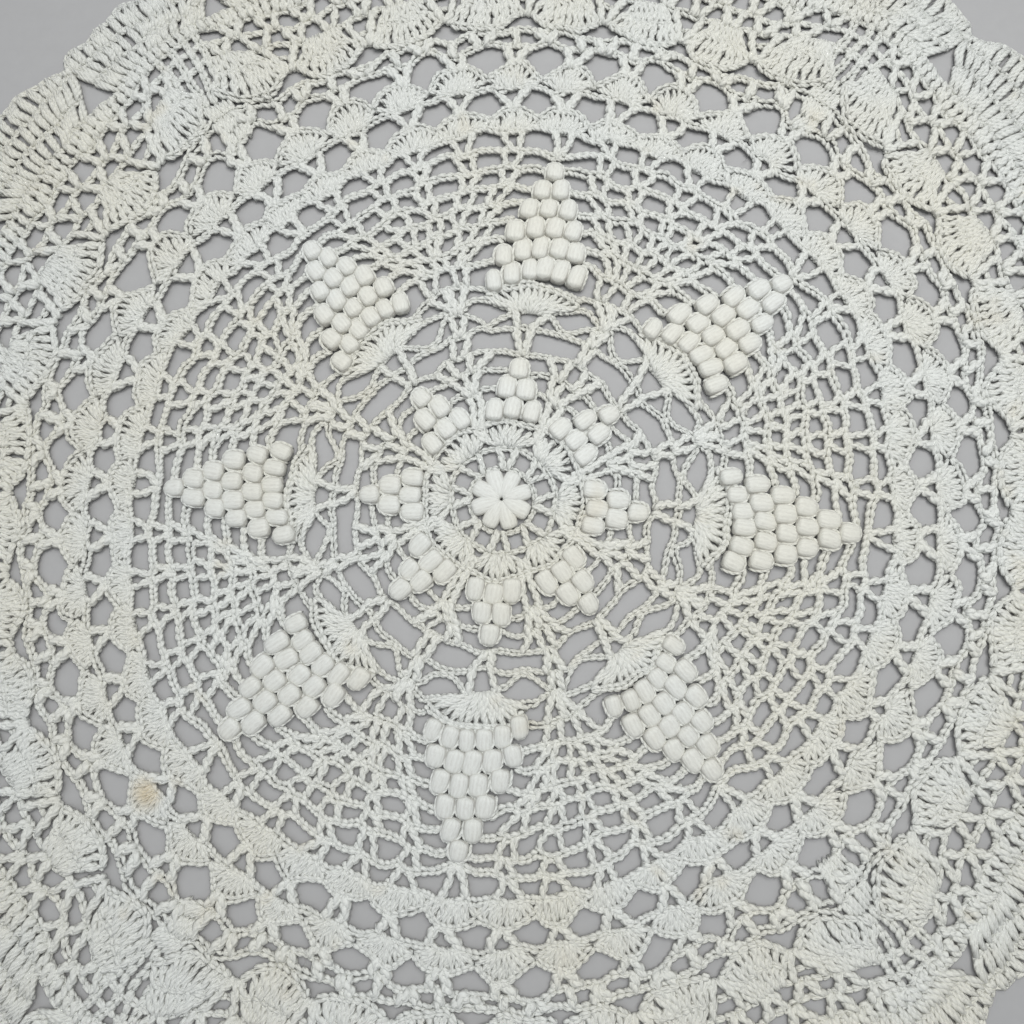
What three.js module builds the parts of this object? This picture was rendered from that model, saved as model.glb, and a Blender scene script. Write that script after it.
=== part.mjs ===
import * as THREE from 'three';

// A round crocheted cotton cloth lying flat: an eight pointed popcorn star, eight popcorn pineapples in a
// mesh of V stitches, two bands of shells, a chain lattice and a scalloped border of fans.
// Millimetres, +Z up. The origin is on the underside, at the middle of the medallion, and bearings run
// clockwise from +Y, seen from above.

// Driving dimensions of the sheet
const CLOTH_THICK = 2.0;
const POPCORN_HIGH = 5.0;
const POPCORN_TOP_WIDE = 2.4;
const POPCORN_TOP_LONG = 3.2;
const EDGE_VALLEY = 206.0;
const EDGE_CROWN = 215.6;
const EDGE_FANS = 24;
const EDGE_STEPS = [0, 0.1, 0.3, 0.5, 0.7, 0.9];

// The medallion repeats eight times, and the rounds outside it in forty eight columns
const SECTORS = 8;
const COLUMNS = 48;
const SECTOR_DEG = 360 / SECTORS;
const COLUMN_DEG = 360 / COLUMNS;
const FAN_DEG = 360 / EDGE_FANS;

// The whole chart is turned clockwise, and its rounds turn a little more as they go outward
const MEDALLION_TURN_DEG = 4.7;
const OUTER_TURN_DEG = 1.75;
const TURN_FULL_AT = 130;

// How unevenly the cloth was worked and laid: a row for each pineapple, clockwise from the top.
// swing is how far its axis leans clockwise, in degrees, reach is how far it stretches outward, and rim
// is how far the lattice and the border beyond it do.
const UNEVEN = [
  { swing: 2.4, reach: 1.018, rim: 1.04 },
  { swing: 1.0, reach: 1.054, rim: 1.066 },
  { swing: -0.2, reach: 1.003, rim: 1.0 },
  { swing: 1.7, reach: 0.968, rim: 0.97 },
  { swing: 1.0, reach: 0.997, rim: 0.987 },
  { swing: -2.0, reach: 1.019, rim: 1.016 },
  { swing: -4.8, reach: 0.963, rim: 0.974 },
  { swing: 0.8, reach: 0.953, rim: 0.988 },
];
const SWING_FULL_AT = 60;
const REACH_FULL_AT = 110;
const RIM_FROM = 125;
const RIM_FULL_AT = 150;

// The middle of the medallion lies off the middle of the rounds outside it
const MIDDLE_SHIFT = new THREE.Vector2(-0.7, -1.3);
const SHIFT_GONE_AT = 115;

// Four seams pull the lattice and the border outward
const SEAM_BEARINGS = [30.6, 130.7, 212.0, 316.7];
const SEAM_HALF_DEG = 13;
const SEAM_PULL = 12;
const PULL_FROM = 144;
const PULL_FULL_AT = 160;
const PULL_FADES_FROM = 168;
const PULL_GONE_AT = 206;

// Popcorn clusters: rows of popcorns from the widest row outward, each one popcorn shorter than the last.
// first is the radius of the widest row, rise the step to the next one and wide a popcorn's width.
const CLUSTERS = [
  { name: 'star point', rows: 3, first: 29.2, rise: 6.3, wide: 5.8 },
  { name: 'pineapple', rows: 6, first: 74.3, rise: 6.5, wide: 5.9 },
];

// The puff flower in the middle
const PETALS = 8;
const PETAL_INNER = 1.2;
const PETAL_OUTER = 8.3;
const PETAL_HIGH = 4.2;
const PETAL_TOP_SHARE = 0.5;

// The larger gaps of each round, all cut through. at lists the bearings of one repeat, every is the
// repeat's angle, and inner, middle and outer are half widths at the inner edge, the widest place and the
// outer edge. A half width of 0 is a single corner, and a gap with no middle has four corners at most.
const AXIS_TO_MID = SECTOR_DEG / 2;
const HALF_COLUMN = COLUMN_DEG / 2;
const GAPS = [
  { name: 'flower ring', at: [AXIS_TO_MID], every: SECTOR_DEG,
    from: 11.0, to: 14.8, inner: 1.7, middle: 2.3, outer: 1.8 },
  { name: 'star loop', at: [-11.7, 11.7], every: SECTOR_DEG,
    from: 48.8, to: 53.2, inner: 5.6, middle: 6.2, outer: 5.4 },
  { name: 'fan foot', at: [0], every: SECTOR_DEG,
    from: 54.8, to: 58.8, inner: 1.4, outer: 2.5 },
  { name: 'long loop', at: [-11.7, 11.7], every: SECTOR_DEG,
    from: 57.2, to: 63.0, inner: 1.2, middle: 5.0, outer: 4.0 },
  { name: 'mesh, third last round', at: [11.9, 18.9, 26.1, 33.1], every: SECTOR_DEG,
    from: 102.2, to: 106.0, inner: 3.5, outer: 2.7 },
  { name: 'mesh, second last round', at: [HALF_COLUMN], every: COLUMN_DEG,
    from: 108.7, to: 112.6, inner: 3.7, outer: 3.0 },
  { name: 'mesh, last round', at: [HALF_COLUMN], every: COLUMN_DEG,
    from: 115.2, to: 119.2, inner: 4.3, outer: 3.2 },
  { name: 'between shells', at: [HALF_COLUMN], every: COLUMN_DEG,
    from: 125.8, to: 132.6, inner: 0, middle: 5.2, outer: 3.0 },
  { name: 'lattice diamond', at: [HALF_COLUMN], every: COLUMN_DEG,
    from: 139.4, to: 147.2, inner: 0, middle: 5.0, outer: 1.6 },
  { name: 'between border fans', at: [FAN_DEG / 2], every: FAN_DEG,
    from: 190.0, to: 202.0, inner: 5.8, outer: 0 },
];
const WIDEST_SHARE = 0.54;

const smooth = THREE.MathUtils.smoothstep;

// How far the nearest seam pulls a point of the even chart outward.
function seamPull(bearing, radius) {
  const away = SEAM_BEARINGS.map((seam) => (
    Math.abs(THREE.MathUtils.euclideanModulo(bearing - seam + 180, 360) - 180)));
  const near = 1 - smooth(Math.min(...away), 0, SEAM_HALF_DEG);
  const risen = smooth(radius, PULL_FROM, PULL_FULL_AT);
  return SEAM_PULL * near * risen * (1 - smooth(radius, PULL_FADES_FROM, PULL_GONE_AT));
}

// The place of a point of the even chart on the cloth as it lies, from its bearing in degrees past the
// first pineapple's axis and its radius.
function lay(bearing, radius) {
  const turns = THREE.MathUtils.euclideanModulo(bearing / SECTOR_DEG, SECTORS);
  const before = UNEVEN[Math.floor(turns) % SECTORS];
  const after = UNEVEN[(Math.floor(turns) + 1) % SECTORS];
  const share = (1 - Math.cos(Math.PI * (turns % 1))) / 2;
  const here = (key) => THREE.MathUtils.lerp(before[key], after[key], share);
  const swing = here('swing') * smooth(radius, 0, SWING_FULL_AT);
  const turn = MEDALLION_TURN_DEG + OUTER_TURN_DEG * smooth(radius, 0, TURN_FULL_AT);
  const angle = THREE.MathUtils.degToRad(bearing + turn + swing);
  const reach = THREE.MathUtils.lerp(here('reach'), here('rim'), smooth(radius, RIM_FROM, RIM_FULL_AT)) - 1;
  const far = radius * (1 + reach * smooth(radius, 0, REACH_FULL_AT)) + seamPull(bearing, radius);
  const shift = MIDDLE_SHIFT.clone().multiplyScalar(1 - smooth(radius, 0, SHIFT_GONE_AT));
  return shift.add(new THREE.Vector2(far * Math.sin(angle), far * Math.cos(angle)));
}

// The same, for a point that lies a distance to one side of a bearing.
function layBeside(bearing, aside, radius) {
  return lay(bearing + THREE.MathUtils.radToDeg(aside / radius), radius);
}

// The corners of a loop, wound the way asked for.
function wound(loop, clockwise) {
  return THREE.ShapeUtils.isClockWise(loop) === clockwise ? loop : [...loop].reverse();
}

// The scalloped edge: each fan's crown is an arc between two valleys.
function edgeLoop() {
  const loop = [];
  for (let fan = 0; fan < EDGE_FANS; fan += 1) {
    for (const step of EDGE_STEPS) {
      const rise = Math.sqrt(Math.sin(Math.PI * step));
      const radius = THREE.MathUtils.lerp(EDGE_VALLEY, EDGE_CROWN, rise);
      loop.push(lay((fan + step - 0.5) * FAN_DEG, radius));
    }
  }
  return wound(loop, false);
}

// The corners of one gap, from its row of the table.
function gapLoop(gap, bearing) {
  const levels = [[gap.from, gap.inner]];
  if (gap.middle) {
    levels.push([THREE.MathUtils.lerp(gap.from, gap.to, WIDEST_SHARE), gap.middle]);
  }
  levels.push([gap.to, gap.outer]);
  const right = levels.map(([radius, half]) => layBeside(bearing, half, radius));
  const left = levels.filter(([, half]) => half > 0);
  left.reverse();
  return wound([...right, ...left.map(([radius, half]) => layBeside(bearing, -half, radius))], true);
}

function gapLoops() {
  const loops = [];
  for (const gap of GAPS) {
    for (let turn = 0; turn < 360 - gap.every / 2; turn += gap.every) {
      loops.push(...gap.at.map((bearing) => gapLoop(gap, bearing + turn)));
    }
  }
  return loops;
}

// A popcorn is a six sided cell of the top face with a smaller raised table in it.
function popcornCell(axis, cluster, row, place) {
  const count = cluster.rows - row;
  const aside = (place - (count - 1) / 2) * cluster.wide;
  const radius = cluster.first + row * cluster.rise;
  const at = ([u, v]) => layBeside(axis, aside + u, radius + v);
  const half = cluster.wide / 2;
  const third = cluster.rise / 3;
  const topHalf = POPCORN_TOP_WIDE / 2;
  const topReach = POPCORN_TOP_LONG / 2;
  const base = [
    [0, 2 * third],
    [half, third],
    [half, -third],
    [0, -2 * third],
    [-half, -third],
    [-half, third],
  ];
  const top = [
    [topHalf, topReach],
    [topHalf, -topReach],
    [-topHalf, -topReach],
    [-topHalf, topReach],
  ];
  return { base: base.map(at), top: top.map(at), high: POPCORN_HIGH };
}

function clusterCells(axis, cluster) {
  const cells = [];
  for (let row = 0; row < cluster.rows; row += 1) {
    for (let place = 0; place < cluster.rows - row; place += 1) {
      cells.push(popcornCell(axis, cluster, row, place));
    }
  }
  return cells;
}

// The flower's petals are wedges round a small eight sided middle.
function flowerCells() {
  const half = 180 / PETALS;
  const middle = (PETAL_INNER + PETAL_OUTER) / 2;
  const reach = ((PETAL_OUTER - PETAL_INNER) / 2) * PETAL_TOP_SHARE;
  const topHalf = half * PETAL_TOP_SHARE;
  const wedge = (bearing, wide, from, to) => [
    lay(bearing - wide, from),
    lay(bearing - wide, to),
    lay(bearing + wide, to),
    lay(bearing + wide, from),
  ];
  const cells = [];
  for (let petal = 0; petal < PETALS; petal += 1) {
    const bearing = (petal + 0.5) * (360 / PETALS);
    const base = wedge(bearing, half, PETAL_INNER, PETAL_OUTER);
    const top = wedge(bearing, topHalf, middle - reach, middle + reach);
    cells.push({ base, top, high: PETAL_HIGH });
  }
  return cells;
}

// Collects corners and triangles, with one corner for each place.
class Faces {
  constructor() {
    this.places = [];
    this.known = new Map();
    this.triangles = [];
  }

  corner(point, high) {
    const key = [point.x, point.y, high].map((value) => Math.round(value * 1e4)).join(' ');
    if (!this.known.has(key)) {
      this.known.set(key, this.places.length / 3);
      this.places.push(point.x, point.y, high);
    }
    return this.known.get(key);
  }

  // A flat or sloping face given by loops: heights gives a height for each loop, the first one outermost.
  fill(loops, heights, upward) {
    const plan = loops.flat();
    const corners = loops.flatMap((loop, i) => loop.map((point) => this.corner(point, heights[i])));
    for (const [a, b, c] of THREE.ShapeUtils.triangulateShape(loops[0], loops.slice(1))) {
      const turnsLeft = THREE.ShapeUtils.area([plan[a], plan[b], plan[c]]) > 0;
      const ends = turnsLeft === upward ? [b, c] : [c, b];
      this.triangles.push(corners[a], corners[ends[0]], corners[ends[1]]);
    }
  }

  wall(loop, low, high) {
    loop.forEach((point, i) => {
      const next = loop[(i + 1) % loop.length];
      const [a, b] = [this.corner(point, low), this.corner(next, low)];
      const [c, d] = [this.corner(next, high), this.corner(point, high)];
      this.triangles.push(a, b, c, a, c, d);
    });
  }

  geometry() {
    const made = new THREE.BufferGeometry();
    made.setAttribute('position', new THREE.Float32BufferAttribute(this.places, 3));
    made.setIndex(this.triangles);
    made.computeVertexNormals();
    return made;
  }
}

// The loops round a group of cells that share their sides: the sides that only one cell has.
function outlines(cells) {
  const key = (point) => `${Math.round(point.x * 1e4)} ${Math.round(point.y * 1e4)}`;
  const sides = new Map();
  for (const { base } of cells) {
    const ring = wound(base, false);
    ring.forEach((point, i) => {
      const next = ring[(i + 1) % ring.length];
      if (!sides.delete(`${key(next)} ${key(point)}`)) {
        sides.set(`${key(point)} ${key(next)}`, [point, next]);
      }
    });
  }
  const after = new Map([...sides.values()].map((side) => [key(side[0]), side]));
  const loops = [];
  while (after.size > 0) {
    const loop = [];
    let [point] = [...after.values()][0];
    while (after.has(key(point))) {
      const [, next] = after.get(key(point));
      after.delete(key(point));
      loop.push(point);
      point = next;
    }
    loops.push(wound(loop, true));
  }
  return loops;
}

function crochetCloth() {
  const faces = new Faces();
  const edge = edgeLoop();
  const gaps = gapLoops();
  const groups = [flowerCells()];
  for (let sector = 0; sector < SECTORS; sector += 1) {
    groups.push(...CLUSTERS.map((cluster) => clusterCells(sector * SECTOR_DEG, cluster)));
  }
  const raised = groups.map(outlines);

  // Each group is left out of the plain top face, and the flower's middle is put back
  const levels = (loops, high) => loops.map(() => high);
  const outermost = (loops) => loops.reduce((a, b) => (
    Math.abs(THREE.ShapeUtils.area(a)) > Math.abs(THREE.ShapeUtils.area(b)) ? a : b));
  const top = [edge, ...gaps, ...raised.map(outermost)];
  faces.fill(top, levels(top, CLOTH_THICK), true);
  for (const loops of raised) {
    const rim = outermost(loops);
    for (const loop of loops.filter((each) => each !== rim)) {
      faces.fill([loop], [CLOTH_THICK], true);
    }
  }
  for (const { base, top: table, high } of groups.flat()) {
    faces.fill([base, table], [CLOTH_THICK, high], true);
    faces.fill([table], [high], true);
  }

  const bottom = [edge, ...gaps];
  faces.fill(bottom, levels(bottom, 0), false);
  for (const loop of bottom) {
    faces.wall(loop, 0, CLOTH_THICK);
  }
  return faces.geometry();
}

const cotton = new THREE.MeshStandardMaterial({ color: 0xe6e3dc, roughness: 0.92, metalness: 0.0 });
const cloth = new THREE.Mesh(crochetCloth(), cotton);
cloth.name = 'cloth';

const tablecloth = new THREE.Group();
tablecloth.add(cloth);

export default tablecloth;
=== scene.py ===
"""A round crocheted cotton cloth lying flat, worked stitch by stitch over its plain solid.

The chart is even: bearings in degrees clockwise from the first pineapple's axis, and radii from the
middle of the medallion and widths in millimetres. lay() then puts each point where the uneven hand
work has it. Small sums in the chart, such as + 0.3, are how far a stitch reaches over the one it
meets.
"""

import bpy
import numpy as np
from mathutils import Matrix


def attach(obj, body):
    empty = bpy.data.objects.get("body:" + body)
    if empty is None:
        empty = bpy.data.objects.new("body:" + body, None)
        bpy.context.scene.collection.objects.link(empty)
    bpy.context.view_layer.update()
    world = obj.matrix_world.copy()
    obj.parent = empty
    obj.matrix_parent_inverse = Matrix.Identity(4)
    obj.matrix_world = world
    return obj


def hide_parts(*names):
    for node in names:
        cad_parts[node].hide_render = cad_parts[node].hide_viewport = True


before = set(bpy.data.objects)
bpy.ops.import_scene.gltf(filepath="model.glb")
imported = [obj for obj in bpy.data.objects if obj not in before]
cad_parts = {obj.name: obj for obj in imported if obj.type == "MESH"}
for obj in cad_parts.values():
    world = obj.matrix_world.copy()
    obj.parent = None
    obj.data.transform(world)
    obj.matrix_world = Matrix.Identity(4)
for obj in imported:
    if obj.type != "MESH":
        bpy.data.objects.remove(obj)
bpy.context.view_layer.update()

MM = 0.001
UP = np.array([0.0, 0.0, 1.0])
SEED = 48
rng = np.random.default_rng(SEED)

# How often the medallion repeats, the rounds outside it and the edge
SECTORS = 8
COLUMNS = 48
EDGE_FANS = 24
SECTOR = 360 / SECTORS
COLUMN = 360 / COLUMNS
FAN = 360 / EDGE_FANS

# How unevenly the cloth was worked and laid, as in its solid: for each pineapple, clockwise from the
# top, how far its axis leans clockwise in degrees and how far it stretches outward
MEDALLION_TURN = 4.7
SWING = np.array([2.4, 1.0, -0.2, 1.7, 1.0, -2.0, -4.8, 0.8])
REACH = np.array([1.018, 1.054, 1.003, 0.968, 0.997, 1.019, 0.963, 0.953])
SWING_FULL_AT = 60
REACH_FULL_AT = 110

# How far the lattice and the border stretch outward, on the same eight axes
RIM_REACH = np.array([1.040, 1.066, 1.000, 0.970, 0.987, 1.016, 0.974, 0.988])
RIM_FROM = (125, 150)

# The rounds turn clockwise a little as they go outward
OUTER_TURN = 1.75
TURN_FULL_AT = 130

# The middle of the medallion lies lower than the middle of the rounds outside it
MIDDLE_SHIFT = np.array([-0.7, -1.3])
SHIFT_GONE_AT = 115

# Four seams pull the border outward: their bearings, how far they pull and how wide
SEAMS = np.array([30.6, 130.7, 212.0, 316.7])
SEAM_PULL = 12.0
SEAM_HALF = 13.0
SEAM_FROM = (144, 160)
SEAM_GONE = (168, 206)

# Smaller unevenness: waves across the cloth that move neighbouring stitches together
WAVES = 26
WAVE_LENGTHS = (8.0, 36.0)
WAVE_MOVE = 0.19
WAVE_FULL_AT = 40

# No yarn is lower than this, on the surface that the cloth lies on
LOWEST = 0.1


def smooth(t):
    s = np.clip(t, 0, 1)
    return s * s * (3 - 2 * s)


def between(value, limits):
    return (value - limits[0]) / (limits[1] - limits[0])


def unit(vectors):
    return vectors / np.maximum(np.linalg.norm(vectors, axis=-1, keepdims=True), 1e-9)


def chart(bearing, radius, aside=0.0):
    """A point of the even chart, with aside measured clockwise along its round."""
    turn = np.radians(bearing) + aside / radius
    return np.array([radius * np.sin(turn), radius * np.cos(turn)])


def from_seam(bearing):
    """How many degrees bearings are from the nearest seam."""
    return np.abs(np.mod(np.asarray(bearing)[..., None] - SEAMS + 180, 360) - 180).min(-1)


wave_ways = rng.uniform(0, 2 * np.pi, WAVES)
wave_numbers = 2 * np.pi / rng.uniform(*WAVE_LENGTHS, WAVES)
wave_starts = rng.uniform(0, 2 * np.pi, (2, WAVES))


def lay(points, loose=1.0):
    """The places on the cloth, as it lies, of points of the even chart. loose is how much of the
    waves' move the points take up."""
    radius = np.hypot(points[..., 0], points[..., 1])
    bearing = np.degrees(np.arctan2(points[..., 0], points[..., 1]))
    turns = np.mod(bearing / SECTOR, SECTORS)
    before = np.floor(turns).astype(int) % SECTORS
    after = (before + 1) % SECTORS
    share = (1 - np.cos(np.pi * np.mod(turns, 1))) / 2
    swing = (SWING[before] * (1 - share) + SWING[after] * share) * smooth(radius / SWING_FULL_AT)
    reach = REACH[before] * (1 - share) + REACH[after] * share - 1
    rim = RIM_REACH[before] * (1 - share) + RIM_REACH[after] * share - 1
    reach = reach + (rim - reach) * smooth(between(radius, RIM_FROM))
    turn = MEDALLION_TURN + OUTER_TURN * smooth(radius / TURN_FULL_AT)
    angle = np.radians(bearing + turn + swing)
    pulled = smooth(between(radius, SEAM_FROM)) * (1 - smooth(between(radius, SEAM_GONE)))
    far = radius * (1 + reach * smooth(radius / REACH_FULL_AT))
    far = far + SEAM_PULL * pulled * smooth(1 - from_seam(bearing) / SEAM_HALF)
    laid = np.stack([far * np.sin(angle), far * np.cos(angle)], -1)
    laid = laid + MIDDLE_SHIFT * (1 - smooth(radius / SHIFT_GONE_AT))[..., None]
    along = laid[..., :1] * np.cos(wave_ways) + laid[..., 1:] * np.sin(wave_ways)
    moves = [np.sin(along * wave_numbers + start).sum(-1) for start in wave_starts]
    return laid + loose * WAVE_MOVE * smooth(radius / WAVE_FULL_AT)[..., None] * np.stack(moves, -1)


# Strands: each is a closed length of yarn, whose twist starts anywhere
LONGEST_TWIST = 60.0


def round_sections(radii, sides):
    """Round cross sections for rings of these radii: how far each corner is across and up."""
    turn = 2 * np.pi * np.arange(sides) / sides
    return radii[..., None, None] * np.stack([np.cos(turn), np.sin(turn)], -1)


def strands(paths, sections):
    """The mesh of strands along paths, whose first and last points are the tips and whose other
    points have a ring each: corners in mm, faces of three and of four corners, and each face corner's
    thread place, in mm along the strand and turns round it."""
    count, rings, sides = sections.shape[:3]
    ahead = unit(paths[:, 2:] - paths[:, :-2])
    across = unit(np.cross(ahead, UP))
    over = np.cross(across, ahead)
    ring = paths[:, 1:-1, None] + sections[..., :1] * across[:, :, None]
    ring = ring + sections[..., 1:] * over[:, :, None]
    corners = np.concatenate([paths[:, :1], ring.reshape(count, -1, 3), paths[:, -1:]], 1)
    corners[..., 2] = np.maximum(corners[..., 2], LOWEST)

    side = np.arange(sides)
    beside = (side + 1) % sides
    last = 1 + rings * sides
    ends = 1 + (rings - 1) * sides
    threes = np.concatenate([
        np.stack([0 * side, 1 + beside, 1 + side], -1),
        np.stack([0 * side + last, ends + side, ends + beside], -1),
    ])
    steps = 1 + sides * np.arange(rings - 1)[:, None]
    fours = [steps + side, steps + beside, steps + beside + sides, steps + side + sides]
    fours = np.stack(fours, -1).reshape(-1, 4)

    gone = np.linalg.norm(np.diff(paths, axis=1), axis=-1).cumsum(1)
    gone = np.concatenate([0 * gone[:, :1], gone], 1) + rng.uniform(0, LONGEST_TWIST, (count, 1))
    turn, turned = side / sides, (side + 1) / sides
    middle = (turn + turned) / 2

    def places(alongs, turns):
        alongs, turns = np.broadcast_arrays(alongs, turns)
        return np.stack([alongs, turns], -1)

    at = [gone[:, i, None] for i in range(rings + 2)]
    three_places = np.concatenate([
        np.stack([places(at[0], middle), places(at[1], turned), places(at[1], turn)], 2),
        np.stack([places(at[-1], middle), places(at[-2], turn), places(at[-2], turned)], 2),
    ], 1)
    four_places = np.concatenate([
        np.stack([places(a, turn), places(a, turned), places(b, turned), places(b, turn)], 2)
        for a, b in zip(at[1:-2], at[2:-1])
    ], 1)
    shift = (corners.shape[1] * np.arange(count))[:, None, None]
    return {
        "corners": corners.reshape(-1, 3),
        "threes": (threes + shift).reshape(-1, 3),
        "fours": (fours + shift).reshape(-1, 4),
        "three_places": three_places.reshape(-1, 2),
        "four_places": four_places.reshape(-1, 2),
    }


def joined(meshes):
    """Several meshes as one."""
    shifts = np.cumsum([0] + [len(mesh["corners"]) for mesh in meshes[:-1]])
    out = {}
    for key in ("corners", "three_places", "four_places"):
        out[key] = np.concatenate([mesh[key] for mesh in meshes])
    for key in ("threes", "fours"):
        out[key] = np.concatenate([mesh[key] + shift for mesh, shift in zip(meshes, shifts)])
    return out


def lifted(flat, high):
    return np.concatenate([flat, np.broadcast_to(high, flat.shape[:-1])[..., None]], -1)


def to_right(flat):
    """The unit vectors to the right of lines of points."""
    ahead = unit(np.gradient(flat, axis=1))
    return np.stack([ahead[..., 1], -ahead[..., 0]], -1)


# A post is a tall stitch: two strands that wind round each other, over the round below at its foot
# and under the round above at its top. shares are its points along it, twist is how many mm the
# strands take to go round once, start is how far round they may begin, in radians either way, and
# loose is how much of the waves' move they take up.
FINE = {
    "shares": (-0.14, -0.1, 0.04, 0.18, 0.32, 0.46, 0.6, 0.74, 0.88, 1.0, 1.04),
    "twist": 5.2,
    "start": np.pi,
    "loose": 1.0,
}
CLOSE = {
    "shares": (-0.15, -0.1, 0.16, 0.42, 0.7, 1.0, 1.04),
    "twist": 13.0,
    "start": 0.9,
    "loose": 0.5,
}
BROAD = {
    "shares": (-0.1, -0.05, 0.17, 0.38, 0.59, 0.8, 1.0, 1.04),
    "twist": 8.0,
    "start": np.pi,
    "loose": 0.6,
}
PLAIN = {"shares": (-0.08, -0.04, 0.5, 1.0, 1.04), "twist": 30.0, "start": 0.6, "loose": 1.0}
POST_SIDES = 4
POST_RADIUS = 1.01
POST_ASIDE = 0.62
POST_UP = 0.42
POST_HIGH_AT = (-0.14, 0.0, 0.3, 0.7, 1.04)
POST_HIGH = (0.9, 1.75, 1.75, 1.6, 1.2)

# How posts vary: in width, bow and height as a whole, and along their strands
POST_UNEVEN = 0.06
POST_BOW = 0.2
POST_RISE = 0.12
POST_MOVE = 0.1
POST_FUZZ = 0.1


def posts_mesh(posts, grade):
    feet, tops = (np.array([post[i] for post in posts]) for i in (0, 1))
    wide = np.array([post[2] for post in posts])[:, None]
    wide = wide * rng.normal(1, POST_UNEVEN, (len(posts), 1))
    share = np.array(grade["shares"])
    flat = feet[:, None] * (1 - share)[:, None] + tops[:, None] * share[:, None]
    flat = lay(flat, grade["loose"])
    right = to_right(flat)
    bow = rng.normal(0, POST_BOW, (len(posts), 1)) * np.sin(np.pi * share)
    start = grade["start"] * rng.uniform(-1, 1, (len(posts), 1))
    rise = rng.normal(0, POST_RISE, (len(posts), 1))
    turns = np.linalg.norm(tops - feet, axis=-1)[:, None] * (share - 0.5) / grade["twist"]
    paths = []
    for strand in (0, np.pi):
        turn = 2 * np.pi * turns + start + strand
        aside = wide * POST_ASIDE * np.cos(turn) + bow + rng.normal(0, POST_MOVE, turn.shape)
        high = np.interp(share, POST_HIGH_AT, POST_HIGH) + POST_UP * np.sin(turn) + rise
        paths.append(lifted(flat + aside[..., None] * right, high))
    fat = rng.normal(1, POST_FUZZ, (2 * len(posts), len(share) - 2))
    radii = POST_RADIUS * np.concatenate([wide, wide]) * fat
    return strands(np.concatenate(paths), round_sections(radii, POST_SIDES))


# A chain is a row of V's: two strands a stitch, that leave the middle and spread over the next
# stitch. Their points are shares of the pitch along the chain, and mm aside and up.
CHAIN = {
    "pitch": 2.1,
    "along": np.array([-0.66, -0.3, 0.1, 0.5, 0.78]),
    "aside": np.array([0.1, 0.32, 0.52, 0.54, 0.36]),
    "high": np.array([0.75, 1.3, 1.4, 1.15, 0.75]),
    "fat": np.array([0.85, 1.0, 0.85]),
}
PLAIN_CHAIN = {
    "pitch": 2.7,
    "along": np.array([-0.66, -0.2, 0.42, 0.78]),
    "aside": np.array([0.1, 0.36, 0.55, 0.36]),
    "high": np.array([0.75, 1.35, 1.2, 0.75]),
    "fat": np.array([1.0, 0.95]),
}
CHAIN_SIDES = 4
CHAIN_RADIUS = 0.72
CHAIN_MOVE = 0.07
CHAIN_UNEVEN = (0.94, 1.06)
HEADING_REACH = 0.4


def stitch_places(points, pitch):
    """Where the stitches of a chain along a line of points are, which way they head and how long each
    is. The line's corners are rounded first."""
    line = np.array(points)
    if len(line) > 2:
        quarters = [line[:-1] * 0.75 + line[1:] * 0.25, line[:-1] * 0.25 + line[1:] * 0.75]
        quarters = np.stack(quarters, 1).reshape(-1, 2)
        line = np.concatenate([line[:1], quarters[1:-1], line[-1:]])
    steps = np.linalg.norm(np.diff(line, axis=0), axis=-1)
    gone = np.concatenate([[0], steps.cumsum()])
    count = max(1, round(gone[-1] / pitch))
    places = (np.arange(count) + 0.5) * gone[-1] / count

    def found(at):
        return np.stack([np.interp(at, gone, line[:, 0]), np.interp(at, gone, line[:, 1])], -1)

    reach = HEADING_REACH * pitch
    heading = unit(found(places + reach) - found(places - reach))
    return found(places), heading, np.full(count, gone[-1] / count)


def chains_mesh(chains, style):
    found = [stitch_places(points, style["pitch"]) for points, *_ in chains]
    centre, ahead, pitch = (np.concatenate([each[i] for each in found]) for i in range(3))
    counts = [len(each[0]) for each in found]
    wide, lift = (np.repeat([chain[i] for chain in chains], counts)[:, None] for i in (1, 2))
    right = np.stack([ahead[:, 1], -ahead[:, 0]], -1)
    paths = []
    for side in (-1, 1):
        moved = rng.normal(0, CHAIN_MOVE, (len(centre), 1))
        flat = centre[:, None] + (pitch[:, None] * style["along"])[..., None] * ahead[:, None]
        flat = flat + (side * wide * style["aside"] + moved)[..., None] * right[:, None]
        high = style["high"] + lift + rng.normal(0, CHAIN_MOVE, (len(centre), 1))
        paths.append(lifted(lay(flat), high))
    uneven = rng.uniform(*CHAIN_UNEVEN, (2 * len(centre), 1))
    radii = CHAIN_RADIUS * np.concatenate([wide, wide]) * style["fat"] * uneven
    return strands(np.concatenate(paths), round_sections(radii, CHAIN_SIDES))


# A popcorn is a bundle of posts drawn together at both ends, so it stands up as a puff
POPCORN_SHARES = np.array([0, 0.03, 0.1, 0.22, 0.38, 0.55, 0.71, 0.84, 0.94, 1])
POPCORN_SIDES = 24
POPCORN_LONG = 7.0
POPCORN_LONG_AT_TIP = 0.8
POPCORN_WIDE = 5.85
POPCORN_HIGH = 4.1
POPCORN_ROUND = (3.5, 2.9)
POPCORN_FLAT = 0.6
POPCORN_SQUARE = 2.7
POPCORN_FULLEST = 0.43
POPCORN_TIP = 1.6
POPCORN_RIBS = 9
POPCORN_RIB = 0.008
POPCORN_LOOSE = 0.3

# How popcorns spread: the places of their inner and outer ends, as shares of the even ones, and how
# much closer the inner ends are where a row drops
POPCORN_SPREAD = (0.98, 1.02)
POPCORN_FLARE = 0.025

# How popcorns vary: the lean of each end in mm, its reach, and the popcorn's width and height
POPCORN_LEAN = 0.17
POPCORN_UNEVEN_LONG = 0.03
POPCORN_UNEVEN = 0.04


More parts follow.
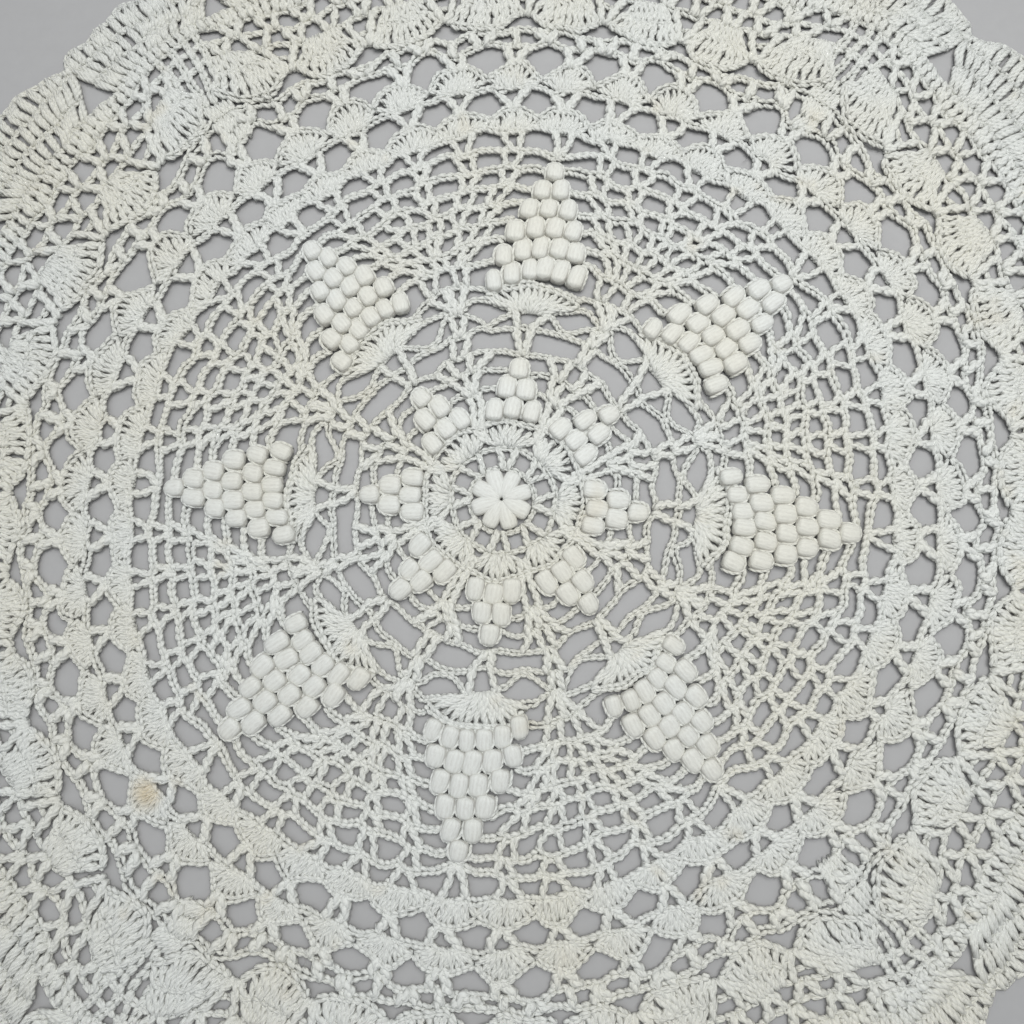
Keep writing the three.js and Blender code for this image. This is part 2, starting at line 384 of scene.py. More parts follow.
def puffs_mesh(inner, outer, wide, high, fullest):
    """Puffs from inner to outer points of the chart. fullest is where along it each is widest."""
    share = POPCORN_SHARES
    flat = inner[:, None] * (1 - share)[:, None] + outer[:, None] * share[:, None]
    flat = lay(flat, POPCORN_LOOSE)
    bend = (share ** (np.log(0.5) / np.log(fullest)))[1:-1]
    rounded = np.where(bend < 0.5, *POPCORN_ROUND)
    profile = (1 - np.abs(2 * bend - 1) ** rounded) ** (1 / rounded)
    turn = 2 * np.pi * np.arange(POPCORN_SIDES) / POPCORN_SIDES
    around = [
        np.sign(part) * np.abs(part) ** (2 / POPCORN_SQUARE)
        for part in (np.cos(turn), np.sin(turn))
    ]
    ribs = np.cos(POPCORN_RIBS * turn + rng.uniform(0, 2 * np.pi, (len(wide), 1)))
    profile = profile[:, None] * (1 + POPCORN_RIB * ribs)[:, None]
    across = wide[:, None, None] / 2 * profile * around[0]
    upward = high[:, None, None] / 2 * profile ** POPCORN_FLAT * around[1]
    middle = high[:, None] / 2 + LOWEST + POPCORN_TIP * (0.5 - share)
    return strands(lifted(flat, middle), np.stack([across, upward], -1))


# A hood is the thin strand that holds each popcorn: round its outer end and down both its sides.
# Its points are shares of the popcorn's length and width, and heights in mm.
HOOD_ALONG = np.array(
    [-0.5, -0.34, -0.1, 0.14, 0.34, 0.48, 0.53, 0.48, 0.34, 0.14, -0.1, -0.34, -0.5]
)
HOOD_ASIDE = np.array([-0.46, -0.5, -0.52, -0.5, -0.4, -0.2, 0, 0.2, 0.4, 0.5, 0.52, 0.5, 0.46])
HOOD_HIGH = np.array([1.2, 2.0, 2.4, 2.5, 2.4, 2.1, 1.9, 2.1, 2.4, 2.5, 2.4, 2.0, 1.2])
HOOD_RADIUS = 0.58
HOOD_SIDES = 5
HOOD_MOVE = 0.1


def hoods_mesh(inner, outer, wide):
    middle, along = (inner + outer) / 2, outer - inner
    right = unit(np.stack([along[:, 1], -along[:, 0]], -1))
    flat = middle[:, None] + HOOD_ALONG[:, None] * along[:, None]
    flat = flat + (HOOD_ASIDE * wide[:, None])[..., None] * right[:, None]
    flat = flat + rng.normal(0, HOOD_MOVE, (len(inner), 1, 2))
    fat = HOOD_RADIUS * np.ones((len(inner), len(HOOD_ALONG) - 2))
    return strands(lifted(lay(flat, POPCORN_LOOSE), HOOD_HIGH), round_sections(fat, HOOD_SIDES))


# Loose fibres that stand out of the yarn, some of them over the gaps
FIBRES = 110
FIBRE_POINTS = 6
FIBRE_SIDES = 3
FIBRE_RADIUS = 0.07
FIBRE_LONG = (1.8, 4.6)
FIBRE_CURL = 0.5
FIBRE_HIGH = 1.4
FIBRE_RISE = (-0.2, 0.9)


def fibres_mesh(chains):
    starts = np.concatenate([stitch_places(points, CHAIN["pitch"])[0] for points, *_ in chains])
    starts = starts[rng.choice(len(starts), FIBRES, replace=False)]
    share = np.linspace(0, 1, FIBRE_POINTS)
    turn = rng.uniform(0, 2 * np.pi, (FIBRES, 1)) + rng.normal(0, FIBRE_CURL, (FIBRES, 1)) * share
    long = rng.uniform(*FIBRE_LONG, (FIBRES, 1)) * share
    flat = starts[:, None] + np.stack([long * np.cos(turn), long * np.sin(turn)], -1)
    high = FIBRE_HIGH + rng.uniform(*FIBRE_RISE, (FIBRES, 1)) * share
    fat = np.full((FIBRES, FIBRE_POINTS - 2), FIBRE_RADIUS)
    return strands(lifted(lay(flat), high), round_sections(fat, FIBRE_SIDES))


# The chart. The chain along the rim of a shell or a fan lies over its posts.
SHELL_WIDE = 0.79
RIM_WIDE = 1.1
RIM_LIFT = 0.75
ARC_POINTS = 5


class Worked:
    """The posts and chains of some rounds."""

    def __init__(self):
        self.posts = []
        self.chains = []

    def post(self, foot, top, wide=1.0):
        self.posts.append((foot, top, wide))

    def chain(self, *points, wide=1.0, lift=0.0):
        self.chains.append((points, wide, lift))

    def vee(self, bearing, foot, top, half, foot_bearing=None, spread=0.55, wide=1.0):
        """Two posts out of one place, with their tops apart."""
        foot_bearing = bearing if foot_bearing is None else foot_bearing
        for side in (-1, 1):
            start = chart(foot_bearing, foot, side * spread)
            self.post(start, chart(bearing, top, side * half), wide)

    def fan(self, bearing, foot, top, count, foot_half, top_half, wide=1.0, drop=0.0):
        """Posts out of one place that fan out to a round, from which its sides drop."""
        for place in np.linspace(-1, 1, count):
            end = chart(bearing, top - drop * place * place, place * top_half)
            self.post(chart(bearing, foot, place * foot_half), end, wide)

    def shell(self, bearing, foot, rises, half, foot_half, count):
        """Posts that fan out to an arch, with a chain over their tops. rises are at the arch's middle
        and sides."""
        tops = []
        for place in np.linspace(-1, 1, count):
            rise = rises[0] + (rises[1] - rises[0]) * place * place
            tops.append(chart(bearing, foot + rise, place * half))
            self.post(chart(bearing, foot, place * foot_half), tops[-1], SHELL_WIDE)
        self.chain(*tops, wide=RIM_WIDE, lift=RIM_LIFT)

    def mirrored(self, axis, mid, stops):
        """A chain through stops on both sides of the middle between two axes. Each stop is its share
        of the way from the middle to the axis, its radius, and how many mm further toward the axis it
        is."""
        line = [chart(mid + (axis - mid) * share, radius, -aside) for share, radius, aside in stops]
        stops = stops[::-1]
        line += [chart(mid - (axis - mid) * share, radius, aside) for share, radius, aside in stops]
        self.chain(*line)


# What the pieces are worked from. medallion has the twisted posts of the open rounds as far as the
# lattice, and the chains inside the bands of shells. shells has the close fans and shells, and the
# chains from there to the lattice.
medallion = Worked()
shells = Worked()
border = Worked()
edge = Worked()

# Middle: puff flower, its ring, eight V's and eight fans
PETAL = {"inner": 0.4, "outer": 9.6, "wide": 5.5, "high": 4.0, "fullest": 0.7}
PETAL_UNEVEN = {"wide": 0.04, "high": 0.03}
FLOWER_SHIFT = np.array([-0.4, 0.2])
RING = 10.2
RING_WIDE = 0.9
RING_VEE = {"half": 3.2, "spread": 0.8, "wide": 0.86}
FAN_FOOT = 15.7
FAN_FOOT_RISE = 2.1
FAN_FOOT_HALF = 3.8
FAN_TOP = 24.4
FAN_SIDE_DROP = 2.6
FAN_HALF = 8.6
FAN_POSTS = 8
FAN_WIDE = 0.86
BETWEEN_FANS = {"half": 1.1, "spread": 0.44}
BETWEEN_FANS_LONG = 4.0


def full_round(radius):
    return [chart(360 * i / COLUMNS, radius) for i in range(COLUMNS + 1)]


medallion.chain(*full_round(RING), wide=RING_WIDE)
medallion.chain(*full_round(FAN_TOP + 0.6), lift=RIM_LIFT)
for sector in range(SECTORS):
    axis = sector * SECTOR
    mid = axis + SECTOR / 2
    medallion.vee(axis, RING + 0.3, FAN_FOOT + 0.6, **RING_VEE)
    foot = FAN_FOOT + FAN_FOOT_RISE
    shells.fan(axis, foot, FAN_TOP, FAN_POSTS, FAN_FOOT_HALF, FAN_HALF, FAN_WIDE, FAN_SIDE_DROP)
    medallion.vee(mid, FAN_TOP - BETWEEN_FANS_LONG, FAN_TOP, **BETWEEN_FANS)
    shares = np.linspace(0, 1, ARC_POINTS)
    medallion.chain(*[chart(axis + SECTOR * share, FAN_FOOT + 0.9) for share in shares])

# Star: three rows of popcorns in each point, and posts between the points, in three rounds
STAR = {
    "rows": 3,
    "first": 29.2,
    "rise": 6.5,
    "pitches": (5.8, 6.0, 6.0),
    "drops": (0.9, 0.3, 0),
    "slant": 0.05,
}
STAR_TOPS = (35.4, 41.4, 47.0)
STAR_RISE = 1.1
STAR_FIRST = {"half": 1.9, "spread": 1.0}
STAR_SECOND_HALF = 4.9
STAR_SECOND_FOOT = 1.47
STAR_INNER = (1.9, 2.7)
STAR_OUTER = (3.9, 8.2)
for sector in range(SECTORS):
    axis = sector * SECTOR
    mid = axis + SECTOR / 2
    first, second, third = STAR_TOPS
    crown = third + STAR_RISE
    medallion.vee(mid, FAN_TOP + 0.8, first - 0.4, **STAR_FIRST)
    medallion.mirrored(axis, mid, [(0.7, first - 0.6, 0), (0.36, first + 0.6, 0), (0, first, 2.0)])
    medallion.fan(mid, first + 0.2, second, 3, STAR_SECOND_FOOT, STAR_SECOND_HALF)
    medallion.mirrored(axis, mid, [
        (0.88, second - 0.6, 0),
        (0.5, second + 0.4, 0),
        (0, second, STAR_SECOND_HALF),
        (0, second + 0.3, 2.0),
    ])
    for side in (-1, 1):
        for (start, end), top in ((STAR_INNER, crown), (STAR_OUTER, third)):
            medallion.post(chart(mid, second + 0.3, side * start), chart(mid, top, side * end))
    medallion.mirrored(axis, mid, [
        (0.97, third, 0),
        (0.7, third - 0.9, 0),
        (0, third + 0.2, STAR_OUTER[1]),
        (0, crown, 3.0),
        (0, crown + 0.2, 1.0),
    ])

# Two rounds of long loops, and the fan that each pineapple stands on
LOOP_ONE = 54.9
LOOP_ONE_AXIS = 53.3
LOOP_AXIS_HALF = 3.1
LOOP_MID_HALF = 2.2
LOOP_TWO = 61.4
LOOP_TWO_HALF = 0.8
LOOP_VEE = {"half": 1.9, "spread": 0.7}
STEM = (2.9, 4.5)
PIN = 55.9
PIN_SHARE = 0.46
BASE_FOOT = 60.8
BASE_FOOT_HALF = 4.7
BASE_TOP = 69.6
BASE_CROWN = 69.7
BASE_BAND = 0.7
BASE_BAND_WIDE = 1.2
BASE_HALF = 15.4
BASE_DROP = 4.4
BASE_POSTS = 13
BASE_WIDE = 0.9
BRACE = 65.2
BRACE_POSTS = (-5.6, -0.8, 0.8, 5.6)
BRACE_NARROW = 0.22
for sector in range(SECTORS):
    axis = sector * SECTOR
    mid = axis + SECTOR / 2
    medallion.vee(axis, STAR_TOPS[2] + 0.2, LOOP_ONE_AXIS, LOOP_AXIS_HALF, spread=0.9)
    medallion.vee(mid, STAR_TOPS[2] + STAR_RISE + 0.6, LOOP_ONE, LOOP_MID_HALF, spread=1.1)
    medallion.chain(*[chart(axis, LOOP_ONE_AXIS, side * LOOP_AXIS_HALF) for side in (-1, 1)])
    medallion.mirrored(axis, mid, [
        (1, LOOP_ONE_AXIS, -LOOP_AXIS_HALF),
        (0.7, LOOP_ONE - 0.6, 0),
        (PIN_SHARE, LOOP_ONE, 0),
        (0, LOOP_ONE + 0.2, LOOP_MID_HALF),
    ])
    medallion.vee(axis, LOOP_ONE_AXIS + 0.3, BASE_FOOT - 0.6, STEM[1], spread=STEM[0])
    medallion.vee(mid, LOOP_ONE + 0.5, LOOP_TWO - 0.8, **LOOP_VEE)
    medallion.mirrored(axis, mid, [
        (1, BASE_FOOT - 1.2, -STEM[1]),
        (0.7, PIN + 2.6, 0),
        (0.55, PIN + 0.5, 0),
        (PIN_SHARE, PIN, 0),
        (0.32, PIN + 1.6, 0),
        (0.17, LOOP_TWO - 1.0, 0),
        (0, LOOP_TWO, LOOP_TWO_HALF),
    ])
    medallion.mirrored(axis, mid, [
        (1, BASE_FOOT, -5.0),
        (0.58, BRACE - 1.6, 0),
        (0.32, BRACE, 0),
        (0.14, LOOP_TWO + 1.6, 0),
        (0, LOOP_TWO + 0.5, LOOP_TWO_HALF),
    ])
    halves = (BASE_FOOT_HALF, BASE_HALF)
    shells.fan(axis, BASE_FOOT, BASE_CROWN, BASE_POSTS, *halves, BASE_WIDE, BASE_DROP)
    for aside in BRACE_POSTS:
        start = chart(mid, LOOP_TWO + 0.6, aside * BRACE_NARROW)
        medallion.post(start, chart(mid, BASE_TOP, aside))
    band = []
    for place in np.linspace(-1, 1, ARC_POINTS):
        radius = BASE_CROWN + BASE_BAND - BASE_DROP * place * place
        band.append(chart(axis, radius, BASE_HALF * place))
    medallion.chain(*band, wide=BASE_BAND_WIDE, lift=RIM_LIFT)
    medallion.mirrored(axis, mid, [
        (0.5, BASE_TOP - 2.8, 0),
        (0.3, BASE_TOP - 0.6, 0),
        (0, BASE_TOP + 0.2, 5.0),
        (0, BASE_TOP + 0.3, 2.0),
    ])

# Pineapples, and the mesh of V's between them: each row's outer radius, and its V's and single posts
# on one side of the middle between two pineapples. A V is its bearing from there, its foot's bearing,
# its half width and its foot's, and a single post its bearing and its foot's.
PINEAPPLE = {
    "rows": 6,
    "first": 74.3,
    "rise": 6.5,
    "pitches": (5.5, 5.95, 6.05, 6.05, 6.0, 6.0),
    "drops": (4.0, 2.0, 0.8, 0.3, 0, 0),
    "slant": 0.13,
}
MESH = [
    {"top": 76.5, "vees": [(4.4, 3.6, 2.5, 1.4)]},
    {"top": 82.9, "vees": [(0, 0, 2.5, 1.5), (7.4, 4.6, 2.3, 1.0)]},
    {"top": 89.0, "vees": [(0, 0, 2.3, 1.1), (9.8, 7.4, 2.3, 1.1)], "posts": [(4.8, 3.9)]},
    {"top": 94.9, "vees": [(0, 0, 2.5, 1.1), (5.8, 4.8, 2.7, 1.1), (12.0, 9.8, 2.5, 1.1)]},
    {"top": 100.9, "vees": [(0, 0, 2.8, 1.1), (6.8, 5.8, 2.8, 1.1), (13.7, 12.0, 2.7, 1.1)]},
    {"top": 107.2, "vees": [(0, 0, 3.1, 1.2), (7.4, 6.8, 3.1, 1.2), (14.7, 13.7, 3.1, 1.2)]},
    {"top": 113.8, "vees": [(0, 0, 3.3, 1.2), (7.5, 7.4, 3.3, 1.2), (15.0, 14.7, 3.3, 1.2)]},
    {"top": 120.4, "vees": [(0, 0, 3.4, 1.2), (7.5, 7.5, 3.4, 1.2), (15.0, 15.0, 3.4, 1.2)]},
]
MESH_CHAIN = {"wide": 1.28, "lift": 0.45}
MESH_POST_WIDE = 0.92
KNOT_HALF = 2.2

# How far the chains reach under a pineapple, and where they hold on to its tip
ROW_UNDER = 2.6
TIP = 111.8

# The chain of a round: how far the next round's V draws it outward, and how it arches over gaps of
# more than some stitches
PEAK = 1.15
ARCH = 0.05
ARCH_UNEVEN = 0.4
ARCH_SHARES = (0.3, 0.7)
ARCH_FROM = 3 * CHAIN["pitch"]


def row_line(stops, top):
    """The line of a round's chain, through stops of a bearing and mm aside. It peaks over each V
    and arches a little outward over the wider gaps."""
    line = []
    for (bearing, aside), (next_bearing, next_aside) in zip(stops[:-1], stops[1:]):
        gap = np.radians(next_bearing - bearing) * top + next_aside - aside
        line.append(chart(bearing, top, aside))
        if bearing == next_bearing and aside < next_aside:
            line.append(chart(bearing, top + PEAK))
        elif gap > ARCH_FROM:
            for share in ARCH_SHARES:
                rise = ARCH * gap * (1 + rng.normal(0, ARCH_UNEVEN))
                line.append(chart(bearing, top + rise, aside + share * gap))
    line.append(chart(stops[-1][0], top, stops[-1][1]))
    return line


for sector in range(SECTORS):
    axis = sector * SECTOR
    mid = axis + SECTOR / 2
    below = BASE_TOP
    for number, row in enumerate(MESH):
        top, stops = row["top"], []
        for away, foot_away, half, spread in row["vees"]:
            for side in (-1, 1) if away else (1,):
                bearing, foot = mid + side * away, mid + side * foot_away
                medallion.vee(bearing, below + PEAK, top - 0.2, half, foot, spread, MESH_POST_WIDE)
                knot = [chart(foot, below + PEAK + 0.4, place * KNOT_HALF) for place in (-1, 1)]
                medallion.chain(*knot)
                stops += [(bearing, -half), (bearing, half)]
        for away, foot_away in row.get("posts", ()):
            for side in (-1, 1):
                foot = chart(mid + side * foot_away, below + 0.3)
                medallion.post(foot, chart(mid + side * away, top - 0.2), MESH_POST_WIDE)
                stops.append((mid + side * away, 0))
        stops.sort(key=lambda stop: stop[0] + np.degrees(stop[1] / top))
        corns = PINEAPPLE["rows"] - number
        if corns > 0:
            reach = corns * PINEAPPLE["pitches"][number] / 2 - ROW_UNDER
            line = row_line([(axis, reach), *stops, (axis + SECTOR, -reach)], top)
        elif number < len(MESH) - 1:
            line = [chart(axis, TIP), *row_line(stops, top), chart(axis + SECTOR, TIP)]
        else:
            medallion.vee(axis, TIP + 0.6, top - 0.2, half)
            stops = [(axis, -half), (axis, half), *stops, (axis + SECTOR, -half)]
            line = row_line(stops, top)
        medallion.chain(*line, **MESH_CHAIN)
        below = top

# Two bands of shells with an open round of V's between them
SHELL_ONE = {"foot": 120.8, "rises": (7.0, 3.4), "half": 8.0, "foot_half": 5.2}
SHELL_TWO = {"foot": 135.0, "rises": (7.2, 2.4), "half": 8.6, "foot_half": 3.6}
SHELL_POSTS = 10
OPEN_FOOT = 128.2
OPEN_TOP = 133.8
OPEN_VEE = {"half": 4.1, "spread": 0.9, "wide": 1.14}
OPEN_CHAIN_WIDE = 1.15
for column in range(COLUMNS):
    bearing = column * COLUMN
    shells.shell(bearing, **SHELL_ONE, count=SHELL_POSTS)
    medallion.vee(bearing, OPEN_FOOT, OPEN_TOP - 0.2, **OPEN_VEE)
    half = OPEN_VEE["half"]
    stops = [(bearing, -half), (bearing, half), (bearing + COLUMN, -half)]
    line = row_line(stops, OPEN_TOP + 0.3)
    shells.chain(*line, wide=OPEN_CHAIN_WIDE, lift=MESH_CHAIN["lift"])
    shells.shell(bearing, **SHELL_TWO, count=SHELL_POSTS)

# Lattice of V's on the shells and between them
NET_FOOT = 142.0
NET_ONE = 146.8
NET_PEAK = 148.6
NET_PEAK_HALF = 1.5
NET_TWO = 152.2
NET_WIDE = 1.2
NET_VEE = {"half": 3.3, "spread": 0.8, "wide": NET_WIDE}
for column in range(COLUMNS):
    bearing = column * COLUMN
    mid = bearing + COLUMN / 2
    after = bearing + COLUMN
    half = NET_VEE["half"]
    medallion.vee(bearing, NET_FOOT, NET_ONE, **NET_VEE)
    shells.chain(
        chart(bearing, NET_ONE + 0.2, -half),
        chart(bearing, NET_ONE + 0.2, half),
        chart(mid, NET_PEAK, -NET_PEAK_HALF),
        chart(mid, NET_PEAK, NET_PEAK_HALF),
        chart(after, NET_ONE + 0.2, -half),
        wide=NET_WIDE,
    )
    medallion.vee(mid, NET_PEAK + 0.4, NET_TWO, **NET_VEE)
    medallion.post(chart(bearing, NET_ONE + 0.4), chart(bearing, NET_TWO), NET_WIDE)
    shells.chain(
        chart(bearing, NET_TWO + 0.2),
        chart(mid, NET_TWO + 0.2, -half),
        chart(mid, NET_TWO + 0.2, half),
        chart(after, NET_TWO + 0.2),
        wide=NET_WIDE,
    )

# Border: fans that open inward, in four lengths between the seams, then two open rounds and a close
# one
BIG_PITCH = 9.3
BIG_RIM = 153.4
BIG_SIDE = 157.6
BIG_HALF = 10.6
BIG_MIDDLE = 161.4
BIG_MIDDLE_RISE = 1.6
BIG_MIDDLE_HALF = 7.4
BIG_FOOT = 168.2
BIG_FOOT_HALF = 4.6
BIG_POSTS = 10
BIG_WIDE = (0.92, 0.86)
BETWEEN_BIG = {"half": BIG_FOOT_HALF, "spread": 0.8, "wide": 1.1}
BAR = BIG_FOOT - 4.4
BAR_HALF = 3.4
SEAM_STRANDS = (-5.0, -1.7, 1.7, 5.0)
SEAM_RADII = (147.0, 153.0, 160.0, 170.0, 182.6)
SEAM_NARROW = (0.5, 0.7, 0.95, 1.3, 1.5)
SEAM_WIDE = 1.35
SEAM_CLEAR = 2.9
LOOSE_TOPS = (168.6, 175.2, 182.0)
LOOSE_WIDE = 1.15
LOOSE_POST_WIDE = 1.1
LOOSE_VEE = {"half": 3.4, "spread": 0.8, "wide": LOOSE_POST_WIDE}
LOOSE_VEES_AT = (-0.25, 0.25)
LOOSE_STAGGER = 0.25
CLOSE_TOP = 188.8
CLOSE_POSTS = 9
CLOSE_HALVES = (10.8, 11.0)
for start, end in zip(SEAMS, [*SEAMS[1:], SEAMS[0] + 360]):
    count = round((end - start) / BIG_PITCH)
    pitch = (end - start) / count
    for number in range(count):
        bearing = start + (number + 0.5) * pitch
        rim, waist = [], []
        for place in np.linspace(-1, 1, BIG_POSTS):
            radius = BIG_RIM + (BIG_SIDE - BIG_RIM) * place * place
            rim.append(chart(bearing, radius, place * BIG_HALF))
            radius = BIG_MIDDLE + BIG_MIDDLE_RISE * place * place
            waist.append(chart(bearing, radius, place * BIG_MIDDLE_HALF))
            border.post(waist[-1], rim[-1], BIG_WIDE[0])
            border.post(chart(bearing, BIG_FOOT, place * BIG_FOOT_HALF), waist[-1], BIG_WIDE[1])
        border.chain(*rim, wide=RIM_WIDE, lift=RIM_LIFT)
        border.chain(*waist, wide=RIM_WIDE, lift=RIM_LIFT)
        beyond = bearing + pitch / 2
        if number < count - 1:
            border.vee(beyond, BIG_SIDE + 1.0, BIG_FOOT, **BETWEEN_BIG)
            border.chain(*[chart(beyond, BAR, side * BAR_HALF) for side in (-1, 1)])
        else:
            for aside in SEAM_STRANDS:
                places = zip(SEAM_RADII, SEAM_NARROW)
                line = [chart(beyond, radius, aside * share) for radius, share in places]
                border.chain(*line, wide=SEAM_WIDE)


def column_line(bearing, radius):
    """The part of a round that belongs to one column."""
    shares = np.linspace(-0.5, 0.5, ARC_POINTS)
    return [chart(bearing + COLUMN * share, radius) for share in shares]


for column in range(COLUMNS):
    bearing = column * COLUMN
    for level, radius in enumerate(LOOSE_TOPS):
        border.chain(*column_line(bearing, radius), wide=LOOSE_WIDE)
        if level:
            for place in LOOSE_VEES_AT:
                vee_at = bearing + COLUMN * (place + LOOSE_STAGGER * (level - 1))
                if from_seam(vee_at) > SEAM_CLEAR:
                    border.vee(vee_at, LOOSE_TOPS[level - 1] + 0.4, radius - 0.3, **LOOSE_VEE)
    foot = LOOSE_TOPS[-1] + 0.4
    border.fan(bearing, foot, CLOSE_TOP, CLOSE_POSTS, *CLOSE_HALVES, LOOSE_POST_WIDE)
    border.chain(*column_line(bearing, CLOSE_TOP + 0.3))

# The edge: three tiers to each scallop
EDGE_TIERS = (189.4, 197.0, 204.8)
EDGE_HALVES = (18.0, 22.6, 26.0)
EDGE_POSTS = (16, 18, 19)
EDGE_CHAIN_POINTS = 7
EDGE_VALLEY = 205.4
EDGE_CROWN = 213.8
EDGE_CROWN_HALF = 1.03
EDGE_CROWN_SPAN = 0.985
for scallop in range(EDGE_FANS):
    bearing = scallop * FAN
    lower, middle, upper = EDGE_TIERS
    for tier, (foot, top) in enumerate(((lower, middle), (middle + 0.5, upper))):
        edge.fan(bearing, foot, top, EDGE_POSTS[tier], EDGE_HALVES[tier], EDGE_HALVES[tier + 1])
        shares = np.linspace(-1, 1, EDGE_CHAIN_POINTS)
        edge.chain(*[chart(bearing, top + 0.3, EDGE_HALVES[tier + 1] * share) for share in shares])
    rim = []
    for share in np.linspace(-1, 1, EDGE_POSTS[2]):
        rise = np.sqrt(np.cos(np.pi / 2 * share * EDGE_CROWN_SPAN))
        crown = EDGE_VALLEY + (EDGE_CROWN - EDGE_VALLEY) * rise
        rim.append(chart(bearing, crown, EDGE_HALVES[2] * EDGE_CROWN_HALF * share))
        edge.post(chart(bearing, upper + 0.4, EDGE_HALVES[2] * share), rim[-1])
    edge.chain(*rim)


def cluster_ends(cluster):
    """The inner and outer ends of a cluster's popcorns in all eight repeats, and how wide they are.
    The ends of its rows drop inward."""
    ends = []
    for sector in range(SECTORS):
        axis = sector * SECTOR
        for row, (pitch, drop) in enumerate(zip(cluster["pitches"], cluster["drops"])):
            count = cluster["rows"] - row
            for place in range(count):
                aside = place - (count - 1) / 2
                radius = cluster["first"] + row * cluster["rise"] - drop * (2 * aside / count) ** 2
                radius += cluster["slant"] * aside * pitch
                lean = rng.normal(0, POPCORN_LEAN, 2)
                reach = POPCORN_LONG / 2 * rng.normal(1, POPCORN_UNEVEN_LONG, 2)
                end = reach[1] * (POPCORN_LONG_AT_TIP if count == 1 else 1)
                narrow, broad = POPCORN_SPREAD
                narrow = narrow - POPCORN_FLARE * drop
                inner = chart(axis, radius - reach[0], aside * pitch * narrow + lean[0])
                outer = chart(axis, radius + end, aside * pitch * broad + lean[1])
                ends.append((inner, outer, POPCORN_WIDE * pitch / max(cluster["pitches"])))
    return [np.array([end[i] for end in ends]) for i in range(3)]


def flower_puffs():
    bearings = (np.arange(SECTORS) + 0.5) * SECTOR
    inner, outer = (
        np.array([chart(bearing, PETAL[end]) for bearing in bearings]) + FLOWER_SHIFT
        for end in ("inner", "outer")
    )
    wide, high = (
        PETAL[size] * rng.normal(1, PETAL_UNEVEN[size], SECTORS) for size in ("wide", "high")
    )
    return puffs_mesh(inner, outer, wide, high, PETAL["fullest"])


popcorns, hoods = [flower_puffs()], []
for cluster in (STAR, PINEAPPLE):
    inner, outer, wide = cluster_ends(cluster)
    wide = wide * rng.normal(1, POPCORN_UNEVEN, len(inner))
    high = POPCORN_HIGH * rng.normal(1, POPCORN_UNEVEN, len(inner))
    popcorns.append(puffs_mesh(inner, outer, wide, high, POPCORN_FULLEST))
    hoods.append(hoods_mesh(inner, outer, wide))


# Materials


class Nodes:
    """Short calls for the nodes of one material."""

    def __init__(self, name):
        self.material = bpy.data.materials.new(name)
        self.material.use_nodes = True
        self.tree = self.material.node_tree
        self.shader = self.tree.nodes["Principled BSDF"]

    def put(self, value, socket):
        if isinstance(value, bpy.types.NodeSocket):
            self.tree.links.new(value, socket)
        else:
            socket.default_value = value

    def add(self, kind, inputs=(), **settings):
        node = self.tree.nodes.new("ShaderNode" + kind)
        for key, value in settings.items():
            setattr(node, key, value)
        for key, value in dict(inputs).items():
            self.put(value, node.inputs[key])
        return node

    def link(self, value, socket):
        self.tree.links.new(value, self.shader.inputs[socket])

    def math(self, operation, *values):
        return self.add("Math", dict(enumerate(values)), operation=operation).outputs[0]

    def vector(self, operation, output, *values):
        return self.add("VectorMath", dict(enumerate(values)), operation=operation).outputs[output]

    def noise(self, place, scale, detail, roughness):
        inputs = {"Vector": place, "Scale": scale, "Detail": detail, "Roughness": roughness}
        return self.add("TexNoise", inputs).outputs["Fac"]

    def mix(self, share, first, second):
        node = self.add("Mix", data_type="RGBA")
        for socket, value in ((0, share), (6, first), (7, second)):
            self.put(value, node.inputs[socket])
        return node.outputs[2]

    def ramp(self, value, low, high, start=0.0, end=1.0):
        inputs = {"Value": value, "From Min": low, "From Max": high, "To Min": start, "To Max": end}
        return self.add("MapRange", inputs, interpolation_type="SMOOTHSTEP").outputs["Result"]


COOL_WHITE = (0.78, 0.80, 0.775, 1)
WARM_WHITE = (0.775, 0.77, 0.70, 1)
CREAM = (0.755, 0.735, 0.65, 1)
# The grey of the painted shade in the yarn's hollows and creases
SHADE_GREY = (0.42, 0.40, 0.36, 1)
STAIN = (0.66, 0.54, 0.33, 1)
STAIN_PLACE = (-0.106, -0.089, 0.001)
STAIN_REACH = (0.003, 0.011)
STAIN_STRONG = 0.75
STAIN_RAGGED = 0.008

# Noises: their scale, detail and roughness, and between which of their values the yarn changes
PATCH_NOISE = (16.0, 3.0, 0.55)
PATCH_FROM = (0.38, 0.64)
TINT_NOISE = (55.0, 2.0, 0.6)
TINT_FROM = (0.60, 0.80)
SPECK_NOISE = (900.0, 2.0, 0.7)
FIBRE_NOISE = (1.0, 4.0, 0.7)
FIBRE_SHARE = 1.6

# How much painted shade greys the yarn in the hollows of its twist, and in the creases where it meets
# the next strand
HOLLOW_SHADE = 0.34
CREASE_SHADE = 0.5

BUMP_STRENGTH = 0.8
COTTON_ROUGH = (0.82, 0.98)
COTTON_SPECULAR = 0.25
COTTON_SHEEN = (0.18, 0.5)
THREAD_MAP = "thread"


